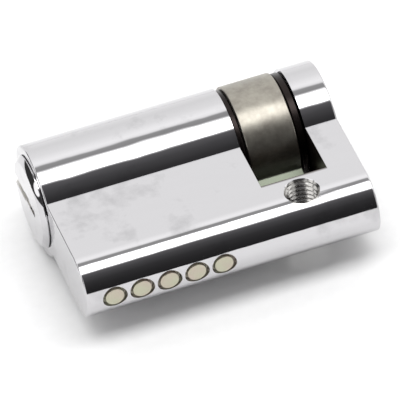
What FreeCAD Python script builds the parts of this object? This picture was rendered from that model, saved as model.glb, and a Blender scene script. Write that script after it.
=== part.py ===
import FreeCAD, Part
import math
import os

# Single (half) profile lock cylinder, all sizes in millimetres.
# The origin is the centre of the fixing screw's hole, the point that such a cylinder is measured from.
# +X runs along the plug from the key end to the closed end, +Y from the flange to the round, +Z is up
# with the cylinder lying on its side. Each sub-part function returns a solid in this frame.

# Driving dimensions
KEY_SIDE = 35.0              # fixing hole centre to the key end
CLOSED_SIDE = 10.0           # fixing hole centre to the closed end
ROUND_RADIUS = 8.5           # round part of the profile section
FLANGE_WIDTH = 10.0          # flange thickness, which its full-radius foot matches
SECTION_HEIGHT = 33.0        # top of the round to the foot of the flange
END_TAB = 5.0                # wall left beyond the cam slot at the closed end
CAM_SLOT_WIDTH = 10.15
CAM_SLOT_DEPTH_BELOW_AXIS = 16.2
END_BREAK = 0.25             # broken edge at both ends of the section

FIXING_DRILL_RADIUS = 2.1    # tapping size of the M5 fixing hole
FIXING_CHAMFER_RADIUS = 2.7

CHAMBER_COUNT = 5
FIRST_CHAMBER = 4.25         # key end to the first chamber's centre
CHAMBER_PITCH = 4.18
CHAMBER_RADIUS = 1.575
CHAMBER_MOUTH_RADIUS = 1.8
CHAMBER_MOUTH_DEPTH = 0.5

PLUG_RADIUS = 6.5
RUNNING_GAP = 0.05           # radial and axial play of everything that turns
PLUG_HEAD_RADIUS = 7.1
PLUG_HEAD_RIM = 0.12         # straight rim of the head, before its bevel
PLUG_HEAD_HEIGHT = 0.9
PLUG_FACE_RADIUS = 6.3
PLUG_CHAMBER_FLOOR = 1.6     # below the axis
KEYWAY_LENGTH = 26.0
# Keyway steps as (bottom, top, left, right) about the axis; the top step breaks out of the plug.
KEYWAY_STEPS = [(-2.9, -0.4, -0.55, 0.55), (-0.5, 1.6, -0.45, 1.0), (1.5, 8.0, -0.95, 0.8)]

CLIP_THICKNESS = 0.7
CLIP_RADIUS = 8.0
CLIP_GROOVE_RADIUS = 5.4
CLIP_MOUTH = 7.0             # opening that lets the clip go on sideways
WASHER_RADIUS = 8.1
WASHER_THICKNESS = 1.1
COLLAR_RADIUS = 6.2
COLLAR_LENGTH = 0.75
DRIVE_RADIUS = 4.9           # tail that carries the cam
DRIVE_ACROSS_FLATS = 7.0
JOURNAL_RADIUS = 3.5         # tail's end, which turns in the closed end
JOURNAL_BORE_DEPTH = 3.0

CAM_RADIUS = 8.4
CAM_WIDTH = 7.6
CAM_LEFT_GAP = 1.05          # from the slot's key-side wall to the cam
LOBE_REACH = 15.0            # axis to the lobe's tip
LOBE_ROOT_WIDTH = 5.8
LOBE_TIP_WIDTH = 4.8
LOBE_CORNER_RADIUS = 1.1
LOBE_ROOT_FILLET = 0.4

PIN_RADIUS = 1.45
KEY_PIN_LENGTHS = [3.2, 4.2, 3.6, 4.4, 3.9]
KEY_PIN_TIP_RADIUS = 0.5
KEY_PIN_TIP_LENGTH = 0.9
KEY_PIN_CROWN = 0.14         # height of the crown that follows the plug's round
KEY_PIN_CROWN_RADIUS = 0.7
SHEAR_LINE_INSET = 0.06      # key pins stop this far inside the plug's round
DRIVER_PIN_LENGTH = 5.0
DRIVER_PIN_BREAK = 0.2

SPRING_COIL_RADIUS = 1.12
SPRING_WIRE_RADIUS = 0.17
SPRING_SEAT_GAP = 0.02

CHAMBER_PLUG_RADIUS = 1.57
CHAMBER_PLUG_LENGTH = 2.0
CHAMBER_PLUG_INSET = 0.1     # below the flange's foot
CHAMBER_PLUG_BREAK = 0.12

# Derived places
LOBE_TAPER = (LOBE_ROOT_WIDTH - LOBE_TIP_WIDTH) / 2 / (LOBE_REACH - CAM_RADIUS)
KEY_END = -KEY_SIDE
CLOSED_END = CLOSED_SIDE
BODY_LENGTH = KEY_SIDE + CLOSED_SIDE
HALF_FLANGE = FLANGE_WIDTH / 2
FOOT_Y = -HALF_FLANGE        # the fixing hole is in the middle of the full-radius foot
AXIS_Y = FOOT_Y + SECTION_HEIGHT - ROUND_RADIUS
JUNCTION_Y = AXIS_Y - math.sqrt(ROUND_RADIUS ** 2 - HALF_FLANGE ** 2)
SLOT_RIGHT = CLOSED_END - END_TAB
SLOT_LEFT = SLOT_RIGHT - CAM_SLOT_WIDTH
SLOT_FLOOR_Y = AXIS_Y - CAM_SLOT_DEPTH_BELOW_AXIS
GROOVE_LEFT = SLOT_LEFT + 2 * RUNNING_GAP
GROOVE_RIGHT = GROOVE_LEFT + CLIP_THICKNESS + 2 * RUNNING_GAP
COLLAR_END = GROOVE_RIGHT + COLLAR_LENGTH
CAM_LEFT = SLOT_LEFT + CAM_LEFT_GAP
CAM_RIGHT = CAM_LEFT + CAM_WIDTH
JOURNAL_END = SLOT_RIGHT + JOURNAL_BORE_DEPTH - 4 * RUNNING_GAP
SHEAR_LINE_Y = AXIS_Y - PLUG_RADIUS
DRIVER_INNER_Y = SHEAR_LINE_Y - SHEAR_LINE_INSET
DRIVER_OUTER_Y = DRIVER_INNER_Y - DRIVER_PIN_LENGTH
CHAMBER_PLUG_OUTER_Y = FOOT_Y + CHAMBER_PLUG_INSET
CHAMBER_PLUG_INNER_Y = CHAMBER_PLUG_OUTER_Y + CHAMBER_PLUG_LENGTH
CHAMBER_X = [KEY_END + FIRST_CHAMBER + i * CHAMBER_PITCH for i in range(CHAMBER_COUNT)]

ALONG_X = FreeCAD.Vector(1, 0, 0)
ALONG_Y = FreeCAD.Vector(0, 1, 0)
ALONG_Z = FreeCAD.Vector(0, 0, 1)
PLUG_AXIS = FreeCAD.Vector(0, AXIS_Y, 0)


def axis_rod(radius, start, end):
    """Round bar on the plug's axis, between two places along X."""
    return Part.makeCylinder(radius, end - start, FreeCAD.Vector(start, AXIS_Y, 0), ALONG_X)


def chamber_rod(radius, x, start, end):
    """Round bar on a pin chamber's axis, between two places along Y."""
    return Part.makeCylinder(radius, end - start, FreeCAD.Vector(x, start, 0), ALONG_Y)


def chamber_cone(radius_start, radius_end, x, start, end):
    """Cone on a pin chamber's axis, between two places along Y."""
    return Part.makeCone(radius_start, radius_end, end - start, FreeCAD.Vector(x, start, 0), ALONG_Y)


def box_between(low, high):
    """Box from its lowest corner to its highest corner."""
    size = [high[i] - low[i] for i in range(3)]
    return Part.makeBox(size[0], size[1], size[2], FreeCAD.Vector(*low))


def turned(outline):
    """Solid turned about the plug's axis from (place along X, radius) points that start and end on it."""
    points = [FreeCAD.Vector(x, AXIS_Y + radius, 0) for x, radius in outline]
    face = Part.Face(Part.makePolygon(points + points[:1]))
    return face.revolve(PLUG_AXIS, ALONG_X, 360)


def profile_section():
    """Bar of the profile section: the round, the flange and its full-radius foot."""
    def at(y, z):
        return FreeCAD.Vector(KEY_END, y, z)

    top = at(AXIS_Y + ROUND_RADIUS, 0)
    round_arc = Part.Arc(at(JUNCTION_Y, HALF_FLANGE), top, at(JUNCTION_Y, -HALF_FLANGE))
    foot_arc = Part.Arc(at(0, -HALF_FLANGE), at(FOOT_Y, 0), at(0, HALF_FLANGE))
    lower_side = Part.LineSegment(at(JUNCTION_Y, -HALF_FLANGE), at(0, -HALF_FLANGE))
    upper_side = Part.LineSegment(at(0, HALF_FLANGE), at(JUNCTION_Y, HALF_FLANGE))
    edges = [curve.toShape() for curve in (round_arc, lower_side, foot_arc, upper_side)]
    bar = Part.Face(Part.Wire(edges)).extrude(FreeCAD.Vector(BODY_LENGTH, 0, 0))
    end_edges = [edge for edge in bar.Edges if edge.BoundBox.XLength < BODY_LENGTH / 2]
    return bar.makeChamfer(END_BREAK, end_edges)


def fixing_hole():
    """Tapping bore of the fixing screw, chamfered at both faces of the flange."""
    bottom = FreeCAD.Vector(0, 0, -HALF_FLANGE)
    hole = Part.makeCylinder(FIXING_DRILL_RADIUS, FLANGE_WIDTH, bottom, ALONG_Z)
    depth = FIXING_CHAMFER_RADIUS - FIXING_DRILL_RADIUS
    for direction in (-1, 1):
        mouth = FreeCAD.Vector(0, 0, direction * HALF_FLANGE)
        inwards = ALONG_Z * -direction
        chamfer = Part.makeCone(FIXING_CHAMFER_RADIUS, FIXING_DRILL_RADIUS, depth, mouth, inwards)
        hole = hole.fuse(chamfer)
    return hole


def chamber_bore(x):
    """Pin chamber from the foot of the flange to the plug's bore, with a countersunk mouth."""
    bore = chamber_rod(CHAMBER_RADIUS, x, FOOT_Y, AXIS_Y)
    mouth = chamber_cone(CHAMBER_MOUTH_RADIUS, CHAMBER_RADIUS, x, FOOT_Y, FOOT_Y + CHAMBER_MOUTH_DEPTH)
    return bore.fuse(mouth)


def housing():
    """Plated brass body with the plug's bore, cam slot, pin chambers and fixing hole."""
    body = profile_section()
    side = ROUND_RADIUS + 1
    slot = box_between((SLOT_LEFT, SLOT_FLOOR_Y, -side), (SLOT_RIGHT, AXIS_Y + side, side))
    cuts = [slot, fixing_hole(), axis_rod(PLUG_RADIUS + RUNNING_GAP, KEY_END, SLOT_LEFT),
            axis_rod(JOURNAL_RADIUS + RUNNING_GAP, SLOT_RIGHT, SLOT_RIGHT + JOURNAL_BORE_DEPTH)]
    cuts += [chamber_bore(x) for x in CHAMBER_X]
    return body.cut(cuts)


def plug():
    """Turned plug: bevelled head, pinned barrel, clip groove, collar, drive tail and end journal."""
    face = KEY_END - PLUG_HEAD_HEIGHT
    seat = KEY_END - RUNNING_GAP
    barrel = turned([
        (face, 0), (face, PLUG_FACE_RADIUS),
        (KEY_END - PLUG_HEAD_RIM, PLUG_HEAD_RADIUS), (seat, PLUG_HEAD_RADIUS),
        (seat, PLUG_RADIUS), (GROOVE_LEFT, PLUG_RADIUS),
        (GROOVE_LEFT, CLIP_GROOVE_RADIUS), (GROOVE_RIGHT, CLIP_GROOVE_RADIUS),
        (GROOVE_RIGHT, COLLAR_RADIUS), (COLLAR_END, COLLAR_RADIUS), (COLLAR_END, 0),
    ])
    tail = drive_section(DRIVE_RADIUS, DRIVE_ACROSS_FLATS, COLLAR_END, CAM_RIGHT)
    journal = axis_rod(JOURNAL_RADIUS, CAM_RIGHT, JOURNAL_END)
    solid = barrel.fuse([tail, journal]).removeSplitter()
    cuts = [box_between((face, AXIS_Y + low, left), (KEY_END + KEYWAY_LENGTH, AXIS_Y + high, right))
            for low, high, left, right in KEYWAY_STEPS]
    cuts += [chamber_rod(CHAMBER_RADIUS, x, SHEAR_LINE_Y - 1, AXIS_Y - PLUG_CHAMBER_FLOOR) for x in CHAMBER_X]
    return solid.cut(cuts)


def drive_section(radius, across_flats, start, end):
    """Bar with two flats, which the cam's bore matches."""
    half = across_flats / 2
    flats = box_between((start, AXIS_Y - radius, -half), (end, AXIS_Y + radius, half))
    return axis_rod(radius, start, end).common(flats)


def retaining_clip():
    """Open spring-steel washer that holds the plug in from inside the cam slot."""
    left = GROOVE_LEFT + RUNNING_GAP
    right = left + CLIP_THICKNESS
    bore_radius = CLIP_GROOVE_RADIUS + RUNNING_GAP
    ring = axis_rod(CLIP_RADIUS, left, right).cut(axis_rod(bore_radius, left, right))
    mouth = box_between((left, AXIS_Y, -CLIP_MOUTH / 2), (right, AXIS_Y + CLIP_RADIUS, CLIP_MOUTH / 2))
    return ring.cut(mouth)


def thrust_washer():
    """Plain washer on the end journal, between the cam and the closed end."""
    left = (CAM_RIGHT + SLOT_RIGHT - WASHER_THICKNESS) / 2
    right = left + WASHER_THICKNESS
    return axis_rod(WASHER_RADIUS, left, right).cut(axis_rod(JOURNAL_RADIUS + RUNNING_GAP, left, right))


def lobe_angle():
    """Angle below the flange's middle at which the lobe's lowest point is level with the round."""
    corner_reach = LOBE_REACH - LOBE_CORNER_RADIUS
    half_width = LOBE_TIP_WIDTH / 2 + LOBE_TAPER * LOBE_CORNER_RADIUS
    corner_angle = math.asin((half_width - LOBE_CORNER_RADIUS) / corner_reach)
    return math.degrees(math.asin((ROUND_RADIUS - LOBE_CORNER_RADIUS) / corner_reach) - corner_angle)


def cam_lobe():
    """Tapered lobe pointing along -Y, with a round tip about the axis and rounded corners."""
    root_y = AXIS_Y - CAM_RADIUS / 2
    tip_y = AXIS_Y - LOBE_REACH - 1
    root_half = LOBE_ROOT_WIDTH / 2 + LOBE_TAPER * CAM_RADIUS / 2
    tip_half = LOBE_TIP_WIDTH / 2 - LOBE_TAPER
    corners = [(root_y, root_half), (tip_y, tip_half), (tip_y, -tip_half), (root_y, -root_half)]
    points = [FreeCAD.Vector(CAM_LEFT, y, z) for y, z in corners]
    wedge = Part.Face(Part.makePolygon(points + points[:1])).extrude(ALONG_X * CAM_WIDTH)
    lobe = wedge.common(axis_rod(LOBE_REACH, CAM_LEFT, CAM_RIGHT))
    tip_corners = [edge for edge in lobe.Edges
                   if edge.BoundBox.XLength > CAM_WIDTH / 2 and edge.BoundBox.YMax < AXIS_Y - LOBE_REACH + 1]
    return lobe.makeFillet(LOBE_CORNER_RADIUS, tip_corners)


def cam():
    """Hardened cam: ring, filleted lobe, collar recess and the bore that the plug's tail drives."""
    ring = axis_rod(CAM_RADIUS, CAM_LEFT, CAM_RIGHT)
    blank = ring.fuse(cam_lobe()).removeSplitter()
    roots = [edge for edge in blank.Edges
             if edge.BoundBox.XLength > CAM_WIDTH / 2 and edge.BoundBox.ZLength < 0.01
             and abs(math.hypot(edge.BoundBox.YMin - AXIS_Y, edge.BoundBox.ZMin) - CAM_RADIUS) < 0.01
             and edge.BoundBox.YMax < AXIS_Y - 1 and abs(edge.BoundBox.ZMin) > 1]
    blank = blank.makeFillet(LOBE_ROOT_FILLET, roots)
    blank.rotate(PLUG_AXIS, ALONG_X, lobe_angle())
    recess = axis_rod(COLLAR_RADIUS + RUNNING_GAP, CAM_LEFT, COLLAR_END + RUNNING_GAP)
    across_flats = DRIVE_ACROSS_FLATS + 2 * RUNNING_GAP
    bore = drive_section(DRIVE_RADIUS + RUNNING_GAP, across_flats, CAM_LEFT, CAM_RIGHT)
    return blank.cut([recess, bore])


def key_pin(x, length):
    """Pin that the key lifts: crowned where it meets the shear line, pointed where it meets the key."""
    outer = SHEAR_LINE_Y + SHEAR_LINE_INSET
    shoulder = outer + KEY_PIN_CROWN
    point = SHEAR_LINE_Y + length
    taper = point - KEY_PIN_TIP_LENGTH
    crown = chamber_cone(KEY_PIN_CROWN_RADIUS, PIN_RADIUS, x, outer, shoulder)
    shank = chamber_rod(PIN_RADIUS, x, shoulder, taper)
    tip = chamber_cone(PIN_RADIUS, KEY_PIN_TIP_RADIUS, x, taper, point)
    return crown.fuse([shank, tip]).removeSplitter()


def driver_pin(x):
    """Plain pin that the spring pushes towards the plug."""
    rounded = PIN_RADIUS - DRIVER_PIN_BREAK
    inner = DRIVER_INNER_Y - DRIVER_PIN_BREAK
    outer = DRIVER_OUTER_Y + DRIVER_PIN_BREAK
    shank = chamber_rod(PIN_RADIUS, x, outer, inner)
    end = chamber_cone(PIN_RADIUS, rounded, x, inner, DRIVER_INNER_Y)
    return chamber_cone(rounded, PIN_RADIUS, x, DRIVER_OUTER_Y, outer).fuse([shank, end]).removeSplitter()


def pin_spring(x):
    """Room of the coil spring between the driver pin and the chamber's plug, as a tube of the coil's size."""
    start = CHAMBER_PLUG_INNER_Y + SPRING_SEAT_GAP
    end = DRIVER_OUTER_Y - SPRING_SEAT_GAP
    outside = chamber_rod(SPRING_COIL_RADIUS + SPRING_WIRE_RADIUS, x, start, end)
    return outside.cut(chamber_rod(SPRING_COIL_RADIUS - SPRING_WIRE_RADIUS, x, start, end))


def chamber_plug(x):
    """Pressed-in plug that closes a pin chamber at the foot of the flange."""
    rounded = CHAMBER_PLUG_RADIUS - CHAMBER_PLUG_BREAK
    edge = CHAMBER_PLUG_OUTER_Y + CHAMBER_PLUG_BREAK
    face = chamber_cone(rounded, CHAMBER_PLUG_RADIUS, x, CHAMBER_PLUG_OUTER_Y, edge)
    return face.fuse(chamber_rod(CHAMBER_PLUG_RADIUS, x, edge, CHAMBER_PLUG_INNER_Y)).removeSplitter()


def save(name, shape):
    """Write one node, after checking that it is one closed solid."""
    if not shape.isValid() or len(shape.Solids) != 1:
        raise RuntimeError(f"{name} is not one valid solid")
    solid = shape.Solids[0]
    solid.exportStep(f"parts/{name}.step")
    box = solid.BoundBox
    print(f"{name:15s} {solid.Volume:9.2f} mm3  x {box.XMin:7.2f} {box.XMax:7.2f}"
          f"  y {box.YMin:7.2f} {box.YMax:7.2f}  z {box.ZMin:7.2f} {box.ZMax:7.2f}")


os.makedirs("parts", exist_ok=True)
save("housing", housing())
save("plug", plug())
save("retaining_clip", retaining_clip())
save("cam", cam())
save("thrust_washer", thrust_washer())
for index, chamber_x in enumerate(CHAMBER_X):
    number = index + 1
    save(f"key_pin_{number}", key_pin(chamber_x, KEY_PIN_LENGTHS[index]))
    save(f"driver_pin_{number}", driver_pin(chamber_x))
    save(f"spring_{number}", pin_spring(chamber_x))
    save(f"chamber_plug_{number}", chamber_plug(chamber_x))
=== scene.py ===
import math

import bmesh
import bpy
from bpy.props import FloatProperty, FloatVectorProperty, IntProperty, PointerProperty
from mathutils import Matrix, Vector


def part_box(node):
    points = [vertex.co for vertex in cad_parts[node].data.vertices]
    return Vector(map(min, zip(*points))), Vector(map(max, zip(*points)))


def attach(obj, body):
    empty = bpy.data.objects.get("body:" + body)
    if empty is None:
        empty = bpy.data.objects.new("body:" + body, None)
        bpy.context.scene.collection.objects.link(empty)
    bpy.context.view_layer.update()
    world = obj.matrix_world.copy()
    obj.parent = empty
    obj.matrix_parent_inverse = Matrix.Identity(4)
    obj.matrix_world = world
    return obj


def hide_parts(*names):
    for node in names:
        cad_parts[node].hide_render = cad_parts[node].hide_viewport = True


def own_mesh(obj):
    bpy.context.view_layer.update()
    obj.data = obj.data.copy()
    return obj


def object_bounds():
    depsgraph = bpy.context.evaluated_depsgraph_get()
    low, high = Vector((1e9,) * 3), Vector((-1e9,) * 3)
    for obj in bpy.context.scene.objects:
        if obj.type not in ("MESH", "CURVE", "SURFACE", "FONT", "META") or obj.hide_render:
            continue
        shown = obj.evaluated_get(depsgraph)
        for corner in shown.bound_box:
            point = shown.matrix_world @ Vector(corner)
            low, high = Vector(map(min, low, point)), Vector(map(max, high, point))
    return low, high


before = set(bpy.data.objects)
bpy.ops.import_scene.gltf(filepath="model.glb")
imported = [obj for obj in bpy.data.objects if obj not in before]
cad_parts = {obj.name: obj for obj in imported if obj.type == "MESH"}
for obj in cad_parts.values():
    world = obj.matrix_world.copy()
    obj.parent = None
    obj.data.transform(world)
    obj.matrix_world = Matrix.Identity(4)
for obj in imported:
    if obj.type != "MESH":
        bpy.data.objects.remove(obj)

bl_info = {
    "name": "Profile lock cylinder",
    "version": (1, 0, 0),
    "blender": (4, 5, 0),
    "location": "3D View > Sidebar > Lock cylinder",
    "description": "Makes the visible pieces of a single profile lock cylinder on its CAD frame",
    "category": "Object",
}

# The frame: lengths in metres, origin in the middle of the fixing hole, +X towards the closed end,
# +Y from the flange to the round, +Z up.
CAD_BOX = [list(corner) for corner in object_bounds()]
MM = 0.001
HOUSING_LOW, HOUSING_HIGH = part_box("housing")
KEY_END = HOUSING_LOW.x
CLOSED_END = HOUSING_HIGH.x
ROUND_RADIUS = (HOUSING_HIGH.z - HOUSING_LOW.z) / 2
AXIS_Y = HOUSING_HIGH.y - ROUND_RADIUS
FOOT_RADIUS = -HOUSING_LOW.y
CAM_LOW, CAM_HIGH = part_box("cam")
CAM_RADIUS = CAM_HIGH.y - AXIS_Y
CLIP_LOW, CLIP_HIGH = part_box("retaining_clip")
PLUG_LOW, PLUG_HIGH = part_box("plug")
PLUG_HEAD_RADIUS = PLUG_HIGH.z
CHAMBER_COUNT = 5
CHAMBER_PLUG_BOXES = [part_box(f"chamber_plug_{i + 1}") for i in range(CHAMBER_COUNT)]
CHAMBER_X = [(low.x + high.x) / 2 for low, high in CHAMBER_PLUG_BOXES]
SPRING_BOXES = [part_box(f"spring_{i + 1}") for i in range(CHAMBER_COUNT)]
FLOOR_Z = CAD_BOX[0][2]
# The keyway's steps: low and high from the axis along Y, then left and right along Z, in millimetres
KEYWAY_STEPS = ((-2.9, -0.4, -0.55, 0.55), (-0.5, 1.6, -0.45, 1.0), (1.5, 8.0, -0.95, 0.8))
# Middle of the mark that a thumb left on the flange's upper face, near the key end
THUMB_MARK = Vector((-30.0, 8.5, 5.0)) * MM


def length(name, text, default_mm):
    """Length property whose default is given in millimetres."""
    return FloatProperty(name=name, description=text, default=default_mm * MM, unit="LENGTH", precision=5)


def colour(name, text, default_hex):
    """Colour property whose default is an sRGB hex value."""
    default = linear(default_hex)[:3]
    return FloatVectorProperty(name=name, description=text, default=default, subtype="COLOR", size=3)


def linear(hex_value):
    """sRGB hex value to a linear RGBA tuple."""
    channels = [int(hex_value[i:i + 2], 16) / 255 for i in (1, 3, 5)]
    straight = [c / 12.92 if c <= 0.04045 else ((c + 0.055) / 1.055) ** 2.4 for c in channels]
    return (*straight, 1.0)


# Settings

class LOCK_HousingSizes(bpy.types.PropertyGroup):
    """Sizes of the plated body."""
    end_break: length("End edge", "Rounding of the section's edges at both ends", 0.3)
    edge_break: length("Cut edge", "Rounding of the edges of the slot, bores and holes", 0.1)
    slot_left: length("Slot, key side", "Place along X of the cam slot's wall at the key side", -5.15)
    slot_right: length("Slot, closed side", "Place along X of the cam slot's wall at the closed side", 5.0)
    slot_floor: length("Slot floor", "Place along Y of the cam slot's floor", 3.3)
    plug_bore: length("Plug bore", "Radius of the bore that the plug turns in", 6.55)
    journal_bore: length("Journal bore", "Radius of the blind bore at the closed side", 3.55)
    journal_depth: length("Journal depth", "Depth of the blind bore at the closed side", 3.0)
    chamber_radius: length("Chamber", "Radius of the pin chambers", 1.575)
    mouth_radius: length("Chamber mouth", "Radius of the countersink round each chamber plug", 1.88)
    mouth_depth: length("Mouth depth", "Depth of the countersink round each chamber plug", 0.5)
    thread_minor: length("Thread minor radius", "Radius of the fixing thread's crests", 2.1)
    thread_major: length("Thread major radius", "Radius of the fixing thread's roots", 2.5)
    thread_pitch: length("Thread pitch", "Pitch of the fixing thread", 0.8)
    thread_chamfer: length("Thread chamfer", "Radius of the chamfer at both mouths of the fixing hole", 2.7)


class LOCK_PlugSizes(bpy.types.PropertyGroup):
    """Sizes of the turned plug."""
    face_radius: length("Face", "Radius of the flat face round the keyway", 6.3)
    rim: length("Rim", "From the housing to the end of the head's straight rim", 0.22)
    seat: length("Seat gap", "Gap between the head and the housing", 0.1)
    barrel_radius: length("Barrel", "Radius of the barrel in the housing's bore", 6.5)
    groove_radius: length("Groove", "Radius at the bottom of the clip's groove", 5.4)
    collar_radius: length("Collar", "Radius of the collar behind the clip", 6.2)
    collar_width: length("Collar width", "Width of the collar behind the clip", 0.75)
    drive_radius: length("Drive tail", "Radius of the tail in the cam's bore", 4.9)
    drive_flats: length("Drive flats", "Distance across the tail's flats", 7.0)
    journal_radius: length("Journal", "Radius of the tail's end journal", 3.5)
    keyway_length: length("Keyway", "Length of the keyway from the housing's end", 26.0)
    chamber_floor: length("Chamber floor", "Floor of the plug's pin chambers below the axis", 1.6)


class LOCK_CamSizes(bpy.types.PropertyGroup):
    """Sizes of the cam and its lobe."""
    edge_break: length("Edge", "Rounding of the cam's edges", 0.16)
    lobe_reach: length("Lobe reach", "Axis to the lobe's tip", 15.0)
    lobe_root_width: length("Root width", "Lobe's width where it meets the ring", 5.8)
    lobe_tip_width: length("Tip width", "Lobe's width at its tip", 4.8)
    lobe_corner: length("Tip corner", "Radius of the lobe's two tip corners", 1.1)
    lobe_fillet: length("Root fillet", "Radius between the lobe and the ring", 0.4)
    bore_clearance: length("Bore clearance", "Play round the plug's tail", 0.05)


class LOCK_SpringSizes(bpy.types.PropertyGroup):
    """Sizes of the clip and the pin springs."""
    turns: IntProperty(name="Turns", description="Turns of each pin spring", default=9, min=3)
    wire_radius: length("Wire", "Radius of the spring wire", 0.17)
    driver_travel: length("Driver travel", "How far a driver pin shortens its spring", 1.7)
    clip_bore: length("Clip bore", "Inner radius of the retaining clip", 5.45)
    clip_mouth: length("Clip mouth", "Opening of the retaining clip", 7.0)
    washer_bore: length("Washer bore", "Inner radius of the thrust washer", 3.55)


class LOCK_Finishes(bpy.types.PropertyGroup):
    """Colours of the metals."""
    chrome: colour("Chrome plating", "Mirror colour of the bright chrome", "#CBCACC")
    chrome_smudge: colour("Handling film", "Mirror colour where the chrome was handled", "#B9B8BA")
    cam_light: colour("Cam, light", "Satin nickel on the cam", "#A6A298")
    cam_dark: colour("Cam, dark", "Satin nickel where it is stained", "#8E8981")
    clip: colour("Clip", "Blackened spring steel", "#2D2827")
    plug_brass: colour("Chamber plugs", "Pale nickel brass", "#BCBBA6")
    plug_blush: colour("Chamber plugs, rosy", "Nickel brass where it is tarnished", "#C1B3A8")
    pin_brass: colour("Pins", "Turned brass", "#C9A35B")
    spring_steel: colour("Spring wire", "Drawn spring steel", "#B8B8BA")


SETTINGS = {
    "lock_housing": LOCK_HousingSizes, "lock_plug": LOCK_PlugSizes, "lock_cam": LOCK_CamSizes,
    "lock_springs": LOCK_SpringSizes, "lock_finishes": LOCK_Finishes,
}


# Mesh tools

def new_piece(name, mesh_builder):
    """Object of a bmesh, linked to the scene, with faces pointing outwards."""
    bmesh.ops.remove_doubles(mesh_builder, verts=mesh_builder.verts, dist=1e-7)
    bmesh.ops.recalc_face_normals(mesh_builder, faces=mesh_builder.faces)
    mesh = bpy.data.meshes.new(name)
    mesh_builder.to_mesh(mesh)
    mesh_builder.free()
    piece = bpy.data.objects.new(name, mesh)
    bpy.context.scene.collection.objects.link(piece)
    return piece


def skin_rings(mesh_builder, rings):
    """Faces between rings of equally many points, with a face over each end."""
    rows = [[mesh_builder.verts.new(point) for point in ring] for ring in rings]
    count = len(rows[0])
    for low, high in zip(rows, rows[1:]):
        for i in range(count):
            mesh_builder.faces.new((low[i], low[(i + 1) % count], high[(i + 1) % count], high[i]))
    mesh_builder.faces.new(rows[0])
    mesh_builder.faces.new(rows[-1])


def arc(centre_y, centre_z, radius, start, end, steps):
    """Points (y, z) along an arc, both ends included, angles in radians."""
    angles = [start + (end - start) * i / steps for i in range(steps + 1)]
    return [(centre_y + radius * math.cos(a), centre_z + radius * math.sin(a)) for a in angles]


def rounded_bar(name, outline, start, end, edge):
    """Bar along X of an outline that takes its inset, with rounded edges at both ends."""
    steps = 4
    quarter = [math.radians(90) * i / steps for i in range(steps + 1)]
    near = [(start + edge * (1 - math.sin(a)), edge * (1 - math.cos(a))) for a in reversed(quarter)]
    far = [(end - edge * (1 - math.sin(a)), edge * (1 - math.cos(a))) for a in quarter]
    builder = bmesh.new()
    skin_rings(builder, [[(x, y, z) for y, z in outline(inset)] for x, inset in near + far])
    return new_piece(name, builder)


def turned_bar(name, profile, steps=240):
    """Solid turned about the plug's axis from (x, radius) points; its ends are closed."""
    builder = bmesh.new()
    angles = [math.tau * i / steps for i in range(steps)]
    rings = [[(x, AXIS_Y + r * math.cos(a), r * math.sin(a)) for a in angles] for x, r in profile]
    skin_rings(builder, rings)
    return new_piece(name, builder)


def turned_along_y(name, profile, x, steps=64):
    """Solid turned about a line along Y from (y, radius) points."""
    builder = bmesh.new()
    angles = [math.tau * i / steps for i in range(steps)]
    skin_rings(builder, [[(x + r * math.cos(a), y, r * math.sin(a)) for a in angles] for y, r in profile])
    return new_piece(name, builder)


def block(name, low, high):
    """Plain block used to cut with."""
    builder = bmesh.new()
    rings = [[(x, low[1], low[2]), (x, high[1], low[2]), (x, high[1], high[2]), (x, low[1], high[2])]
             for x in (low[0], high[0])]
    skin_rings(builder, rings)
    return new_piece(name, builder)


def flat_blocks(start, end, half, wide):
    """Blocks that cut two flats, each half away from the plug's axis and wide enough to clear it."""
    return [block("flat cutter", (start, AXIS_Y - wide, side), (end, AXIS_Y + wide, side + wide))
            for side in (half, -half - wide)]


def apply_modifiers(piece):
    """Replace the piece's mesh by its evaluated mesh and drop its modifiers."""
    graph = bpy.context.evaluated_depsgraph_get()
    mesh = bpy.data.meshes.new_from_object(piece.evaluated_get(graph))
    piece.modifiers.clear()
    piece.data = mesh


def carve(piece, cutters):
    """Cut every cutter from the piece, then remove the cutters."""
    for cutter in cutters:
        modifier = piece.modifiers.new("cut", "BOOLEAN")
        modifier.operation = "DIFFERENCE"
        modifier.solver = "EXACT"
        modifier.object = cutter
    apply_modifiers(piece)
    for cutter in cutters:
        bpy.data.objects.remove(cutter)


def dress_edges(piece, width, sharp_from=32.0):
    """Round the sharp edges, smooth the curved faces and keep the flat ones flat."""
    if width > 0:
        bevel = piece.modifiers.new("edges", "BEVEL")
        bevel.width = width
        bevel.segments = 2
        bevel.limit_method = "ANGLE"
        bevel.angle_limit = math.radians(sharp_from)
        bevel.miter_outer = "MITER_ARC"
        apply_modifiers(piece)
    piece.data.polygons.foreach_set("use_smooth", [True] * len(piece.data.polygons))
    piece.data.set_sharp_from_angle(angle=math.radians(sharp_from))
    weighted = piece.modifiers.new("normals", "WEIGHTED_NORMAL")
    weighted.mode = "FACE_AREA"
    weighted.weight = 100
    weighted.keep_sharp = True
    apply_modifiers(piece)


def settle(piece, body, slot, material, *nodes):
    """Give a finished piece its material, body and the CAD nodes that it stands for. The slot is not used.
    """
    piece.data.materials.clear()
    piece.data.materials.append(material)
    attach(piece, body)
    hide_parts(*nodes)


# Node tools

# Inputs of a Mix node, where the names A and B repeat for each kind of value
VALUE_A, VALUE_B, COLOUR_A, COLOUR_B = 2, 3, 6, 7


def add_node(tree, kind, inputs=None, **settings):
    """Add a node, set its properties and feed its inputs with constants, sockets or other nodes' results."""
    node = tree.nodes.new(kind)
    for key, value in settings.items():
        setattr(node, key, value)
    for key, value in (inputs or {}).items():
        if isinstance(value, bpy.types.Node):
            value = next(socket for socket in value.outputs if socket.enabled)
        if isinstance(value, bpy.types.NodeSocket):
            tree.links.new(value, node.inputs[key])
        else:
            node.inputs[key].default_value = value
    return node


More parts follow.
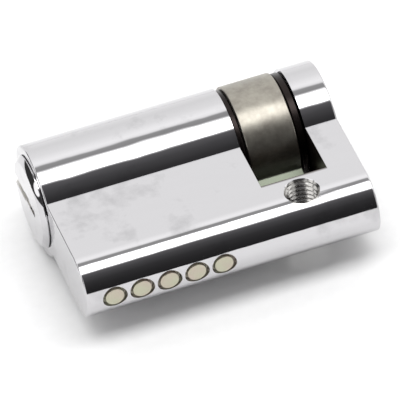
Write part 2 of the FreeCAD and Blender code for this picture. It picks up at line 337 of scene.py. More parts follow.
def span(low, high, out_low=0.0, out_high=1.0):
    """Limits of a Map Range node, from one range to another."""
    return {"From Min": low, "From Max": high, "To Min": out_low, "To Max": out_high}


def within(tree, value, low, high, fade=0.02 * MM):
    """One where a length lies between two limits, with a short fade outside them."""
    rise = add_node(tree, "ShaderNodeMapRange", {"Value": value, **span(low - fade, low)})
    fall = add_node(tree, "ShaderNodeMapRange", {"Value": value, **span(high, high + fade, 1.0, 0.0)})
    return add_node(tree, "ShaderNodeMath", {0: rise, 1: fall}, operation="MULTIPLY")


def per_metre(feature_mm):
    """Noise scale, in features per metre, from a feature's size in millimetres."""
    return 1 / (feature_mm * MM)


def opaque(setting):
    """Colour setting as RGBA."""
    return (*setting, 1.0)


# Materials

def new_material(name):
    """Empty material, its node tree and its object coordinates."""
    material = bpy.data.materials.new(name)
    material.use_nodes = True
    tree = material.node_tree
    tree.nodes.clear()
    return material, tree, add_node(tree, "ShaderNodeTexCoord").outputs["Object"]


def surface(tree, inputs):
    """Add the material's shader, with its inputs, and the output."""
    shader = add_node(tree, "ShaderNodeBsdfPrincipled", inputs)
    add_node(tree, "ShaderNodeOutputMaterial", {"Surface": shader})


def chrome_material(name, scene, bare):
    """Bright nickel and chrome, electroplated on wheel-polished brass. It is a mirror, so most of what the
    eye sees is the room in it. Where bare() says, it is the cut brass that the plating hardly reached,
    and in the housing's slot its dark colour is painted shade."""
    finishes = scene.lock_finishes
    material, tree, place = new_material(name)
    # Film from handling, in cloudy patches and one thumb's mark, that greys and blurs the mirror a little
    film = add_node(tree, "ShaderNodeTexNoise", {
        "Vector": place, "Scale": per_metre(7.0), "Detail": 5.0, "Roughness": 0.6})
    from_thumb = add_node(tree, "ShaderNodeVectorMath", {0: place, 1: THUMB_MARK}, operation="DISTANCE")
    thumb = add_node(tree, "ShaderNodeMapRange", {
        "Value": from_thumb, **span(1.5 * MM, 5.0 * MM, 0.09, 0.0)})
    handled = add_node(tree, "ShaderNodeMath", {0: film, 1: thumb}, operation="ADD")
    patches = add_node(tree, "ShaderNodeMapRange", {"Value": handled, **span(0.55, 0.70)})
    plating = add_node(tree, "ShaderNodeMix", {
        "Factor": patches, COLOUR_A: opaque(finishes.chrome), COLOUR_B: opaque(finishes.chrome_smudge),
    }, data_type="RGBA")
    gloss = add_node(tree, "ShaderNodeMapRange", {"Value": patches, **span(0.0, 1.0, 0.04, 0.1)})
    # Cut faces, duller and without the mirror; the dark colour in the housing's slot is painted shade
    split = add_node(tree, "ShaderNodeSeparateXYZ", {"Vector": place})
    cut, cut_colour, cut_rough = bare(tree, split.outputs, scene)
    tint = add_node(tree, "ShaderNodeMix", {
        "Factor": cut, COLOUR_A: plating, COLOUR_B: cut_colour}, data_type="RGBA")
    rough = add_node(tree, "ShaderNodeMix", {"Factor": cut, VALUE_A: gloss, VALUE_B: cut_rough})
    # Hairlines from the polishing wheel, drawn coarse enough to show, and the slow swell that the wheel
    # leaves in brass, which makes the edges of what is mirrored wander
    wheel_room = add_node(tree, "ShaderNodeMapping", {
        "Vector": place, "Scale": (0.06, 1.0, 1.0), "Rotation": (0.0, 0.0, 0.3)})
    hairlines = add_node(tree, "ShaderNodeTexNoise", {
        "Vector": wheel_room, "Scale": per_metre(0.25), "Detail": 2.0})
    long_room = add_node(tree, "ShaderNodeMapping", {"Vector": place, "Scale": (0.55, 1.0, 1.0)})
    swell = add_node(tree, "ShaderNodeTexNoise", {
        "Vector": long_room, "Scale": per_metre(4.5), "Detail": 2.0})
    scratch = add_node(tree, "ShaderNodeMath", {0: hairlines, 1: 0.003}, operation="MULTIPLY")
    level = add_node(tree, "ShaderNodeMath", {0: scratch, 1: swell}, operation="ADD")
    bump = add_node(tree, "ShaderNodeBump", {"Height": level, "Strength": 1.0, "Distance": 0.045 * MM})
    surface(tree, {"Base Color": tint, "Metallic": 1.0, "Roughness": rough, "Normal": bump})
    return material


def bare_cuts_and_slot_shade(tree, place, scene):
    """Mask, colour and roughness of the housing's cuts. The milled slot gets a dark colour up to the cam's
    ring, which is painted shade, and the thread is brighter, because a tap burnishes it."""
    sizes = scene.lock_housing
    skin = 0.01 * MM
    # Walls of the cam slot up to the cam's ring, which get painted shade
    along = within(tree, place["X"], sizes.slot_left - skin, sizes.slot_right + skin)
    across = within(tree, place["Y"], sizes.slot_floor - skin, 12.4 * MM, 0.4 * MM)
    slot = add_node(tree, "ShaderNodeMath", {0: along, 1: across}, operation="MULTIPLY")
    square = add_node(tree, "ShaderNodeMath", {0: place["X"], 1: place["X"]}, operation="MULTIPLY")
    reach = add_node(tree, "ShaderNodeMath", {
        0: place["Y"], 1: place["Y"], 2: square}, operation="MULTIPLY_ADD")
    distance = add_node(tree, "ShaderNodeMath", {0: reach}, operation="SQRT")
    round_hole = within(tree, distance, 0.0, sizes.thread_chamfer - 0.08 * MM)
    depth = FOOT_RADIUS - 0.07 * MM
    thread = add_node(tree, "ShaderNodeMath", {
        0: round_hole, 1: within(tree, place["Z"], -depth, depth)}, operation="MULTIPLY")
    # Dark colour: painted shade in the slot; pale grey: the thread's burnished metal
    colours = add_node(tree, "ShaderNodeMix", {
        "Factor": thread, COLOUR_A: linear("#4E4640"), COLOUR_B: linear("#B4B2AF")}, data_type="RGBA")
    rough = add_node(tree, "ShaderNodeMapRange", {"Value": thread, **span(0.0, 1.0, 0.34, 0.16)})
    cut = add_node(tree, "ShaderNodeMath", {0: slot, 1: thread}, operation="MAXIMUM")
    return cut, colours, rough


def bare_plug(tree, place, scene):
    """Mask, colour and roughness of the keyway, whose broached walls scatter light and read pale."""
    skin = 0.05 * MM
    left = min(step[2] for step in KEYWAY_STEPS) * MM - skin
    right = max(step[3] for step in KEYWAY_STEPS) * MM + skin
    lower_step_top = AXIS_Y + KEYWAY_STEPS[0][1] * MM
    across = within(tree, place["Z"], left, right)
    above = within(tree, place["Y"], lower_step_top, AXIS_Y + ROUND_RADIUS, 0.3 * MM)
    inside = within(tree, place["X"], PLUG_LOW.x + 0.04 * MM, KEY_END + scene.lock_plug.keyway_length + MM)
    slit = add_node(tree, "ShaderNodeMath", {0: across, 1: above}, operation="MULTIPLY")
    cut = add_node(tree, "ShaderNodeMath", {0: slit, 1: inside}, operation="MULTIPLY")
    return cut, linear("#E2E0DC"), 0.5


def satin_cam_material(name, finishes):
    """Satin nickel plating on a steel cam. The ring is turned, so it is dull, warm grey and stained in
    patches, and the lobe's flanks are left as formed, so they are duller and a little green."""
    material, tree, place = new_material(name)
    # Stains a couple of millimetres wide, which make the grey uneven
    stains = add_node(tree, "ShaderNodeTexNoise", {
        "Vector": place, "Scale": per_metre(2.2), "Detail": 5.0, "Roughness": 0.65})
    stained = add_node(tree, "ShaderNodeMapRange", {"Value": stains, **span(0.36, 0.66)})
    plated = add_node(tree, "ShaderNodeMix", {
        "Factor": stained, COLOUR_A: opaque(finishes.cam_light), COLOUR_B: opaque(finishes.cam_dark),
    }, data_type="RGBA")
    split = add_node(tree, "ShaderNodeSeparateXYZ", {"Vector": place})
    lobe = within(tree, split.outputs["Y"], 0.0, AXIS_Y - CAM_RADIUS - 0.1 * MM, 0.35 * MM)
    tint = add_node(tree, "ShaderNodeMix", {
        "Factor": lobe, COLOUR_A: plated, COLOUR_B: linear("#82887A")}, data_type="RGBA")
    # Turning marks round the axis, drawn coarse enough to show, that spread the highlight along the ring
    lathe_room = add_node(tree, "ShaderNodeMapping", {"Vector": place, "Scale": (1.0, 0.16, 0.16)})
    grain = add_node(tree, "ShaderNodeTexNoise", {
        "Vector": lathe_room, "Scale": per_metre(0.16), "Detail": 3.0})
    gloss = add_node(tree, "ShaderNodeMapRange", {"Value": grain, **span(0.3, 0.7, 0.31, 0.38)})
    rough = add_node(tree, "ShaderNodeMix", {"Factor": lobe, VALUE_A: gloss, VALUE_B: 0.46})
    bump = add_node(tree, "ShaderNodeBump", {"Height": grain, "Strength": 0.4, "Distance": 0.0025 * MM})
    surface(tree, {"Base Color": tint, "Metallic": 1.0, "Roughness": rough, "Normal": bump})
    return material


def turned_metal_material(name, tint, dark, rough, grain_mm, stain_mm=0.9):
    """Turned or drawn metal, left bare: fine tool marks break up the highlight, and stains darken it."""
    material, tree, place = new_material(name)
    stains = add_node(tree, "ShaderNodeTexNoise", {
        "Vector": place, "Scale": per_metre(stain_mm), "Detail": 4.0})
    stained = add_node(tree, "ShaderNodeMapRange", {"Value": stains, **span(0.38, 0.68)})
    colours = add_node(tree, "ShaderNodeMix", {
        "Factor": stained, COLOUR_A: opaque(tint), COLOUR_B: opaque(dark)}, data_type="RGBA")
    marks = add_node(tree, "ShaderNodeTexNoise", {
        "Vector": place, "Scale": per_metre(grain_mm), "Detail": 3.0})
    gloss = add_node(tree, "ShaderNodeMapRange", {
        "Value": marks, **span(0.3, 0.7, rough * 0.8, rough * 1.25)})
    bump = add_node(tree, "ShaderNodeBump", {"Height": marks, "Strength": 0.5, "Distance": 0.006 * MM})
    surface(tree, {"Base Color": colours, "Metallic": 1.0, "Roughness": gloss, "Normal": bump})
    return material


# Pieces

def section_outline(inset):
    """Points of the profile section, inset all round: the round, then the flange's full-radius foot."""
    radius, half = ROUND_RADIUS - inset, FOOT_RADIUS - inset
    open_angle = math.pi - math.asin(half / radius)
    return (arc(AXIS_Y, 0, radius, -open_angle, open_angle, 230)
            + arc(0, 0, half, math.radians(90), math.radians(270), 150))


def thread_cutter(sizes):
    """Screw shape that cuts the fixing hole: a V thread with flat crests and roots, and a chamfer at both
    faces."""
    per_turn, steps, over = 12, 84, 0.2 * MM
    flat = 0.125  # Share of the depth that a sharp V would add at each crest and root
    depth = sizes.thread_major - sizes.thread_minor
    half = FOOT_RADIUS + over
    rows = int(2 * half * per_turn / sizes.thread_pitch) + 1
    rings = []
    for row in range(rows + 1):
        z = -half + 2 * half * row / rows
        chamfer = sizes.thread_chamfer - (FOOT_RADIUS - abs(z))
        ring = []
        for step in range(steps):
            turn = step / steps
            phase = (z / sizes.thread_pitch - turn) % 1.0
            tooth = min(1.0, max(0.0, (1 + 2 * flat) * (1 - abs(2 * phase - 1)) - flat))
            radius = max(sizes.thread_minor + depth * tooth, chamfer)
            ring.append((radius * math.cos(math.tau * turn), radius * math.sin(math.tau * turn), z))
        rings.append(ring)
    builder = bmesh.new()
    skin_rings(builder, rings)
    return new_piece("thread cutter", builder)


def make_housing(scene):
    """Plated body with its slot, bores, pin chambers and threaded fixing hole."""
    sizes = scene.lock_housing
    body = rounded_bar("housing_shell", section_outline, KEY_END, CLOSED_END, sizes.end_break)
    out = 2 * MM
    journal_end = sizes.slot_right + sizes.journal_depth
    cutters = [
        block("slot cutter", (sizes.slot_left, sizes.slot_floor, -ROUND_RADIUS - out),
              (sizes.slot_right, AXIS_Y + ROUND_RADIUS + out, ROUND_RADIUS + out)),
        turned_bar("plug bore cutter", [
            (KEY_END - out, sizes.plug_bore), (sizes.slot_left + out, sizes.plug_bore)]),
        turned_bar("journal cutter", [
            (sizes.slot_right - out, sizes.journal_bore), (journal_end, sizes.journal_bore)], 96),
        thread_cutter(sizes),
    ]
    foot = -FOOT_RADIUS
    wide, narrow, depth = sizes.mouth_radius, sizes.chamber_radius, sizes.mouth_depth
    lip = 0.35 * (wide - narrow)
    mouth = [(foot - out, wide), (foot + 0.05 * depth, wide), (foot + 0.6 * depth, wide - lip),
             (foot + 1.4 * depth, wide - lip), (foot + 1.8 * depth, narrow), (AXIS_Y, narrow)]
    cutters += [turned_along_y("chamber cutter", mouth, x, 96) for x in CHAMBER_X]
    carve(body, cutters)
    dress_edges(body, sizes.edge_break)
    chrome = chrome_material("bright_chrome_plating", scene, bare_cuts_and_slot_shade)
    settle(body, "housing", "chrome_plate", chrome, "housing")


def make_plug(scene):
    """Turned plug with its bevelled head, stepped keyway and drive tail."""
    sizes = scene.lock_plug
    seat = KEY_END - sizes.seat
    groove = CLIP_LOW.x - 0.05 * MM, CLIP_HIGH.x + 0.05 * MM
    collar_end = groove[1] + sizes.collar_width
    tail_end = CAM_HIGH.x
    core = turned_bar("plug_core", [
        (PLUG_LOW.x, sizes.face_radius), (KEY_END - sizes.rim, PLUG_HEAD_RADIUS), (seat, PLUG_HEAD_RADIUS),
        (seat, sizes.barrel_radius), (groove[0], sizes.barrel_radius), (groove[0], sizes.groove_radius),
        (groove[1], sizes.groove_radius), (groove[1], sizes.collar_radius),
        (collar_end, sizes.collar_radius), (collar_end, sizes.drive_radius),
        (tail_end, sizes.drive_radius), (tail_end, sizes.journal_radius),
        (PLUG_HIGH.x, sizes.journal_radius),
    ])
    cutters = flat_blocks(collar_end, tail_end, sizes.drive_flats / 2, sizes.barrel_radius)
    keyway_end = KEY_END + sizes.keyway_length
    for low, high, left, right in KEYWAY_STEPS:
        cutters.append(block("keyway cutter", (PLUG_LOW.x - MM, AXIS_Y + low * MM, left * MM),
                             (keyway_end, AXIS_Y + high * MM, right * MM)))
    bore = scene.lock_housing.chamber_radius
    chamber = [(AXIS_Y - sizes.barrel_radius - MM, bore), (AXIS_Y - sizes.chamber_floor, bore)]
    cutters += [turned_along_y("plug chamber cutter", chamber, x) for x in CHAMBER_X]
    carve(core, cutters)
    dress_edges(core, 0.08 * MM, 28.0)
    chrome = chrome_material("plated_plug_chrome", scene, bare_plug)
    settle(core, "plug", "plated_plug", chrome, "plug")


def lobe_taper(sizes):
    """How much the lobe's flank closes in for each unit outwards."""
    return (sizes.lobe_root_width - sizes.lobe_tip_width) / 2 / (sizes.lobe_reach - CAM_RADIUS)


def lobe_rest_angle(sizes):
    """Angle below the flange's middle at which the lobe stands on the same surface as the round."""
    reach = sizes.lobe_reach - sizes.lobe_corner
    half_width = sizes.lobe_tip_width / 2 + lobe_taper(sizes) * sizes.lobe_corner
    return (math.asin((ROUND_RADIUS - sizes.lobe_corner) / reach)
            - math.asin((half_width - sizes.lobe_corner) / reach))


def cam_outline(sizes):
    """Function that gives the cam's outline at an inset: ring, root fillets, tapered flanks, round tip."""
    taper = lobe_taper(sizes)
    lean = math.hypot(1, taper)
    middle = sizes.lobe_tip_width / 2 + taper * sizes.lobe_reach

    def tangent_centre(offset, distance):
        """Centre at a distance from the axis whose gap to the flank's line is the offset."""
        k = middle + offset * lean
        u = (k * taper + math.sqrt((k * taper) ** 2 - lean ** 2 * (k ** 2 - distance ** 2))) / lean ** 2
        return u, k - taper * u

    fillet = tangent_centre(sizes.lobe_fillet, CAM_RADIUS + sizes.lobe_fillet)
    corner = tangent_centre(-sizes.lobe_corner, sizes.lobe_reach - sizes.lobe_corner)
    fillet_angle = math.atan2(fillet[1], fillet[0])
    corner_angle = math.atan2(corner[1], corner[0])
    flank = math.atan2(1, taper)
    turn = lobe_rest_angle(sizes)
    out_y, out_z = -math.cos(turn), -math.sin(turn)

    def outline(inset):
        half = (arc(0, 0, sizes.lobe_reach - inset, 0, corner_angle, 10)
                + arc(*corner, sizes.lobe_corner - inset, corner_angle, flank, 10)
                + arc(*fillet, sizes.lobe_fillet + inset, flank + math.pi, fillet_angle + math.pi, 16)
                + arc(0, 0, CAM_RADIUS - inset, fillet_angle, math.pi, 120))
        whole = half + [(u, -v) for u, v in reversed(half[1:-1])]
        return [(AXIS_Y + u * out_y + v * out_z, u * out_z - v * out_y) for u, v in whole]

    return outline


def make_cam(scene):
    """Cam ring with its lobe, driven by the plug's tail."""
    sizes, plug = scene.lock_cam, scene.lock_plug
    ring = rounded_bar("cam_ring", cam_outline(sizes), CAM_LOW.x, CAM_HIGH.x, sizes.edge_break)
    play = sizes.bore_clearance
    start, end = CAM_LOW.x - MM, CAM_HIGH.x + MM
    tail = plug.drive_radius + play
    bore = turned_bar("bore cutter", [(start, tail), (end, tail)], 160)
    carve(bore, flat_blocks(start - MM, end + MM, plug.drive_flats / 2 + play, plug.barrel_radius))
    collar = plug.collar_radius + play
    recess_end = CLIP_HIGH.x + plug.collar_width + 0.1 * MM
    recess = turned_bar("recess cutter", [(start, collar), (recess_end, collar)], 160)
    carve(ring, [bore, recess])
    dress_edges(ring, 0.06 * MM)
    nickel = satin_cam_material("satin_nickel_on_steel", scene.lock_finishes)
    settle(ring, "plug", "satin_steel", nickel, "cam")


def make_clip(scene):
    """Open clip in the plug's groove, and the washer on the cam's other side."""
    sizes, black_steel = scene.lock_springs, scene.lock_finishes.clip
    outer = CLIP_HIGH.z
    half = sizes.clip_mouth / 2
    outer_gap, inner_gap = math.asin(half / outer), math.asin(half / sizes.clip_bore)

    def outline(inset):
        return (arc(AXIS_Y, 0, outer - inset, outer_gap, math.tau - outer_gap, 140)
                + arc(AXIS_Y, 0, sizes.clip_bore + inset, math.tau - inner_gap, inner_gap, 120))

    clip = rounded_bar("spring_clip", outline, CLIP_LOW.x, CLIP_HIGH.x, 0.1 * MM)
    dress_edges(clip, 0)
    black = turned_metal_material("blackened_spring_steel", black_steel, black_steel, 0.3, 0.1)
    settle(clip, "plug", "spring_steel_black", black, "retaining_clip")

    low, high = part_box("thrust_washer")
    corner = 0.12 * MM
    washer = turned_bar("washer_ring", [(low.x, high.z - corner), (low.x + corner, high.z),
                                        (high.x - corner, high.z), (high.x, high.z - corner)])
    bore = sizes.washer_bore
    carve(washer, [turned_bar("washer bore cutter", [(low.x - MM, bore), (high.x + MM, bore)], 96)])
    dress_edges(washer, 0)
    settle(washer, "plug", "spring_steel_black", black, "thrust_washer")


def coil_tree(material):
    """Geometry nodes that sweep a round wire along a coil, and the identifiers of their inputs."""
    tree = bpy.data.node_groups.new("pin_spring_coil", "GeometryNodeTree")
    names = ("Turns", "Coil radius", "Height", "Wire radius")
    identifiers = [tree.interface.new_socket(name, in_out="INPUT", socket_type="NodeSocketFloat").identifier
                   for name in names]
    tree.interface.new_socket("Geometry", in_out="OUTPUT", socket_type="NodeSocketGeometry")
    given = add_node(tree, "NodeGroupInput").outputs
    coil = add_node(tree, "GeometryNodeCurveSpiral", {
        "Resolution": 28, "Rotations": given["Turns"], "Height": given["Height"],
        "Start Radius": given["Coil radius"], "End Radius": given["Coil radius"]})
    wire = add_node(tree, "GeometryNodeCurvePrimitiveCircle", {
        "Resolution": 10, "Radius": given["Wire radius"]})
    swept = add_node(tree, "GeometryNodeCurveToMesh", {
        "Curve": coil, "Profile Curve": wire, "Fill Caps": True})
    real = add_node(tree, "GeometryNodeRealizeInstances", {"Geometry": swept})
    painted = add_node(tree, "GeometryNodeSetMaterial", {"Geometry": real, "Material": material})
    add_node(tree, "NodeGroupOutput", {"Geometry": painted})
    return tree, identifiers


def make_springs(scene):
    """Coil springs behind the driver pins."""
    sizes, finishes = scene.lock_springs, scene.lock_finishes
    steel = turned_metal_material("drawn_spring_wire", finishes.spring_steel, finishes.clip, 0.28, 0.1)
    tree, identifiers = coil_tree(steel)
    wire = sizes.wire_radius
    for number, (low, high) in enumerate(SPRING_BOXES, start=1):
        coil = bpy.data.objects.new(f"spring_coil_{number}", bpy.data.meshes.new("coil"))
        scene.collection.objects.link(coil)
        modifier = coil.modifiers.new("coil", "NODES")
        modifier.node_group = tree
        values = (float(sizes.turns), high.z - wire, high.y - low.y - 2 * wire, wire)
        for identifier, value in zip(identifiers, values):
            modifier[identifier] = value
        apply_modifiers(coil)
        x = (low.x + high.x) / 2
        upright = Matrix.Rotation(math.radians(-90), 4, "X")
        coil.data.transform(Matrix.Translation((x, low.y + wire, 0)) @ upright)
        coil.data.polygons.foreach_set("use_smooth", [True] * len(coil.data.polygons))
        settle(coil, "housing", "spring_wire", steel, f"spring_{number}")
        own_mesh(coil)


def row_tree():
    """Geometry nodes that repeat a piece in an even row, and the identifiers of count, pitch and metal."""
    tree = bpy.data.node_groups.new("chamber_plug_row", "GeometryNodeTree")
    panel = tree.interface
    panel.new_socket("Geometry", in_out="INPUT", socket_type="NodeSocketGeometry")
    count = panel.new_socket("Count", in_out="INPUT", socket_type="NodeSocketInt")
    pitch = panel.new_socket("Pitch", in_out="INPUT", socket_type="NodeSocketVector")
    metal = panel.new_socket("Metal", in_out="INPUT", socket_type="NodeSocketMaterial")
    panel.new_socket("Geometry", in_out="OUTPUT", socket_type="NodeSocketGeometry")
    given = add_node(tree, "NodeGroupInput").outputs
    row = add_node(tree, "GeometryNodeMeshLine", {"Count": given["Count"], "Offset": given["Pitch"]})
    placed = add_node(tree, "GeometryNodeInstanceOnPoints", {
        "Points": row, "Instance": given["Geometry"]})
    real = add_node(tree, "GeometryNodeRealizeInstances", {"Geometry": placed})
    painted = add_node(tree, "GeometryNodeSetMaterial", {"Geometry": real, "Material": given["Metal"]})
    add_node(tree, "NodeGroupOutput", {"Geometry": painted})
    return tree, count.identifier, pitch.identifier, metal.identifier


def make_chamber_plugs(scene):
    """Five pressed-in plugs at the foot of the flange, faced in place and lightly domed."""
    finishes = scene.lock_finishes
    low, high = CHAMBER_PLUG_BOXES[0]
    radius = (high.x - low.x) / 2
    outer, inner = low.y, high.y
    face = radius - 0.16 * MM
    profile = [(outer, 0.25 * radius), (outer + 0.01 * MM, 0.6 * radius),
               (outer + 0.02 * MM, face - 0.06 * MM), (outer + 0.07 * MM, face),
               (outer + 0.7 * MM, face), (outer + 0.9 * MM, radius), (inner, radius)]
    plugs = turned_along_y("chamber_plug_discs", profile, CHAMBER_X[0], 72)
    brass = turned_metal_material(
        "pale_nickel_brass", finishes.plug_brass, finishes.plug_blush, 0.36, 0.2, stain_mm=2.6)
    tree, count, pitch, metal = row_tree()
    modifier = plugs.modifiers.new("row", "NODES")
    modifier.node_group = tree
    modifier[count] = CHAMBER_COUNT
    modifier[pitch] = (CHAMBER_X[1] - CHAMBER_X[0], 0.0, 0.0)
    modifier[metal] = brass
    apply_modifiers(plugs)
    dress_edges(plugs, 0)
    nodes = [f"chamber_plug_{i + 1}" for i in range(CHAMBER_COUNT)]
    settle(plugs, "housing", "plug_brass", brass, *nodes)


def finish_pins(scene):
    """Brass on the key pins and driver pins, whose CAD shape is kept."""
    finishes = scene.lock_finishes
    brass = turned_metal_material("turned_pin_brass", finishes.pin_brass, finishes.plug_brass, 0.22, 0.12)
    for name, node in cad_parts.items():
        if name.startswith(("key_pin", "driver_pin")):
            node.data.materials.clear()
            node.data.materials.append(brass)


# Stage

# Brightness of the walls by their angle in degrees round the lock's long axis, from +Y over +Z
WALLS = (
    (-180, 0.03), (-170, 1.1), (-60, 1.1), (-20, 1.25), (22, 1.08), (45, 1.2), (62, 1.42), (68, 1.3),
    (72, 0.45), (81, 0.40), (84, 1.6), (109.5, 1.6), (114, 0.16), (126, 0.095), (143, 0.05), (158, 0.035),
    (176, 0.025),
)
# Direction of the small window beyond the key end
WINDOW = (-0.9585, 0.09, 0.2704)


def world_light():
    """Pale studio walls, with the dark room on the side of the flange's foot and a small window beyond the
    key end, which the chrome mirrors."""
    world = bpy.data.worlds.new("studio")
    bpy.context.scene.world = world
    world.use_nodes = True
    tree = world.node_tree
    tree.nodes.clear()
    direction = add_node(tree, "ShaderNodeTexCoord").outputs["Generated"]
    split = add_node(tree, "ShaderNodeSeparateXYZ", {"Vector": direction}).outputs
    # Walls by their angle round the long axis
    tilt = add_node(tree, "ShaderNodeMath", {0: split["Z"], 1: split["Y"]}, operation="ARCTAN2")
    turn = add_node(tree, "ShaderNodeMapRange", {"Value": tilt, **span(-math.pi, math.pi)})
    ramp = add_node(tree, "ShaderNodeValToRGB", {"Fac": turn})
    elements = ramp.color_ramp.elements
    while len(elements) < len(WALLS):
        elements.new(0.5)
    for element, (degrees, value) in zip(elements, WALLS):
        element.position = (degrees + 180) / 360
        cool = (value * 0.97, value * 0.955, value, 1.0)
        element.color = cool if value < 0.3 else (value, value, value, 1.0)
    # Dim room beyond the key end, low down, with its window
    side = add_node(tree, "ShaderNodeMath", {0: split["X"], 1: -1.0}, operation="MULTIPLY")
    key_side = add_node(tree, "ShaderNodeMapRange", {"Value": side, **span(0.35, 0.5)})
    low_down = add_node(tree, "ShaderNodeMapRange", {"Value": split["Z"], **span(0.35, 0.45, 1.0, 0.0)})
    dim = add_node(tree, "ShaderNodeMath", {0: key_side, 1: low_down}, operation="MULTIPLY")
    window = add_node(tree, "ShaderNodeVectorMath", {0: direction, 1: WINDOW}, operation="DOT_PRODUCT")
    glow = add_node(tree, "ShaderNodeMapRange", {"Value": window, **span(0.978, 0.984, 0.05, 1.6)})
    walls = add_node(tree, "ShaderNodeMix", {
        "Factor": dim, COLOUR_A: ramp, COLOUR_B: glow}, data_type="RGBA")
    # White walls beside the dark room
    width = add_node(tree, "ShaderNodeMath", {0: split["X"]}, operation="ABSOLUTE")
    to_side = add_node(tree, "ShaderNodeMapRange", {"Value": width, **span(0.4, 0.55)})
    to_foot = add_node(tree, "ShaderNodeMapRange", {"Value": split["Y"], **span(-0.3, -0.42)})
    beside = add_node(tree, "ShaderNodeMath", {0: to_side, 1: to_foot}, operation="MULTIPLY")
    room = add_node(tree, "ShaderNodeMix", {
        "Factor": beside, COLOUR_A: walls, COLOUR_B: linear("#FFFFFF")}, data_type="RGBA")
    light = add_node(tree, "ShaderNodeBackground", {"Color": room, "Strength": 1.0})
    add_node(tree, "ShaderNodeOutputWorld", {"Surface": light})


def studio_floor():
    """Pale seamless paper on the floor."""
    builder = bmesh.new()
    reach = 3.0
    corners = [(-reach, -reach), (reach, -reach), (reach, reach), (-reach, reach)]
    builder.faces.new([builder.verts.new((x, y, FLOOR_Z)) for x, y in corners])
    floor = new_piece("studio_floor", builder)
    material, tree, place = new_material("pale_paper")
    fibre = add_node(tree, "ShaderNodeTexNoise", {
        "Vector": place, "Scale": per_metre(1.5), "Detail": 2.0})
    paper = add_node(tree, "ShaderNodeMix", {
        "Factor": fibre, COLOUR_A: linear("#F4F4F4"), COLOUR_B: linear("#FAFAFA")}, data_type="RGBA")
    surface(tree, {"Base Color": paper, "Roughness": 0.9, "Specular IOR Level": 0.0})
    floor.data.materials.append(material)


def overhead_softbox(place, size, power):
    """Rectangular soft light that looks straight down."""
    data = bpy.data.lights.new("overhead_softbox", "AREA")
    data.shape = "RECTANGLE"
    data.size, data.size_y = size
    data.energy = power
    lamp = bpy.data.objects.new("overhead_softbox", data)
    bpy.context.scene.collection.objects.link(lamp)
    lamp.location = place


def studio_camera():
    """Long lens from above the key end's side, slightly rolled."""
    azimuth, elevation, roll = (math.radians(a) for a in (-14.51, 42.0, -6.76))
    from_key_end, below_axis, distance = 22.23 * MM, 9.85 * MM, 1.3436
    target = Vector((KEY_END + from_key_end, AXIS_Y - below_axis, 0))
    level = Vector((math.cos(azimuth), math.sin(azimuth), 0))
    outward = Vector((math.sin(azimuth), -math.cos(azimuth), 0))
    back = outward * math.cos(elevation) + Vector((0, 0, math.sin(elevation)))
    up = back.cross(level)
    right = level * math.cos(roll) + up * math.sin(roll)
    top = up * math.cos(roll) - level * math.sin(roll)
    data = bpy.data.cameras.new("studio_camera")
    data.lens = 831.2
    data.sensor_width = 36.0
    data.clip_end = 20.0
    camera = bpy.data.objects.new("studio_camera", data)
    bpy.context.scene.collection.objects.link(camera)
    turn = Matrix((right, top, back)).transposed().to_4x4()
    camera.matrix_world = Matrix.Translation(target + back * distance) @ turn
    bpy.context.scene.camera = camera


def make_stage():
    """Floor, light and camera."""
    bpy.context.scene.view_settings.view_transform = "Standard"
    world_light()
    studio_floor()
    overhead_softbox(place=(0.1, -0.135, 1.0), size=(1.3, 0.45), power=4.9)
    studio_camera()


# Operators

class LOCK_OT_stage(bpy.types.Operator):
    """Make the floor, the light and the camera."""
    bl_idname = "lock.stage"
    bl_label = "Stage"

    def execute(self, context):
        make_stage()
        return {"FINISHED"}


class LOCK_OT_housing(bpy.types.Operator):
    """Make the plated body."""
    bl_idname = "lock.housing"
    bl_label = "Housing"

    def execute(self, context):
        make_housing(context.scene)
        return {"FINISHED"}


class LOCK_OT_plug(bpy.types.Operator):
    """Make the turned plug."""
    bl_idname = "lock.plug"
    bl_label = "Plug"

    def execute(self, context):
        make_plug(context.scene)
        return {"FINISHED"}


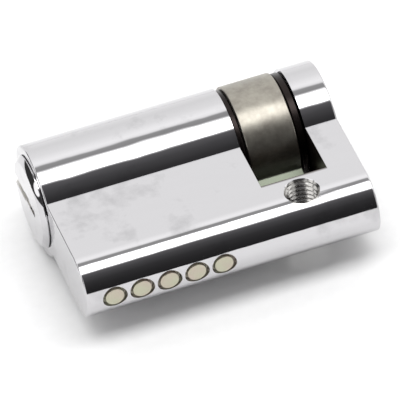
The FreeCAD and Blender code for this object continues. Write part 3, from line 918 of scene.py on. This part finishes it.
class LOCK_OT_cam(bpy.types.Operator):
    """Make the cam, and the clip and the washer beside it."""
    bl_idname = "lock.cam"
    bl_label = "Cam, clip and washer"

    def execute(self, context):
        make_cam(context.scene)
        make_clip(context.scene)
        return {"FINISHED"}


class LOCK_OT_pins(bpy.types.Operator):
    """Make the springs and finish the pins."""
    bl_idname = "lock.pins"
    bl_label = "Pins and springs"

    def execute(self, context):
        make_springs(context.scene)
        finish_pins(context.scene)
        return {"FINISHED"}


class LOCK_OT_chamber_plugs(bpy.types.Operator):
    """Make the plugs that close the pin chambers."""
    bl_idname = "lock.chamber_plugs"
    bl_label = "Chamber plugs"

    def execute(self, context):
        make_chamber_plugs(context.scene)
        return {"FINISHED"}


OPERATORS = (LOCK_OT_stage, LOCK_OT_housing, LOCK_OT_plug, LOCK_OT_cam, LOCK_OT_pins, LOCK_OT_chamber_plugs)


class LOCK_PT_panel(bpy.types.Panel):
    """Sidebar panel with the operators and their settings."""
    bl_idname = "LOCK_PT_panel"
    bl_label = "Lock cylinder"
    bl_space_type = "VIEW_3D"
    bl_region_type = "UI"
    bl_category = "Lock cylinder"

    def draw(self, context):
        for operator in OPERATORS:
            self.layout.operator(operator.bl_idname)
        for group in SETTINGS:
            column = self.layout.box().column()
            settings = getattr(context.scene, group)
            for name in settings.__annotations__:
                column.prop(settings, name)


def register():
    """Register the settings, the operators and the panel."""
    for group in SETTINGS.values():
        bpy.utils.register_class(group)
    for name, group in SETTINGS.items():
        setattr(bpy.types.Scene, name, PointerProperty(type=group))
    for operator in OPERATORS:
        bpy.utils.register_class(operator)
    bpy.utils.register_class(LOCK_PT_panel)


def unregister():
    """Undo register, in the opposite order."""
    bpy.utils.unregister_class(LOCK_PT_panel)
    for operator in reversed(OPERATORS):
        bpy.utils.unregister_class(operator)
    for name, group in SETTINGS.items():
        delattr(bpy.types.Scene, name)
        bpy.utils.unregister_class(group)


def main():
    """Make everything in order."""
    register()
    bpy.ops.lock.stage()
    bpy.ops.lock.housing()
    bpy.ops.lock.plug()
    bpy.ops.lock.cam()
    bpy.ops.lock.pins()
    bpy.ops.lock.chamber_plugs()


if __name__ == "__main__":
    main()
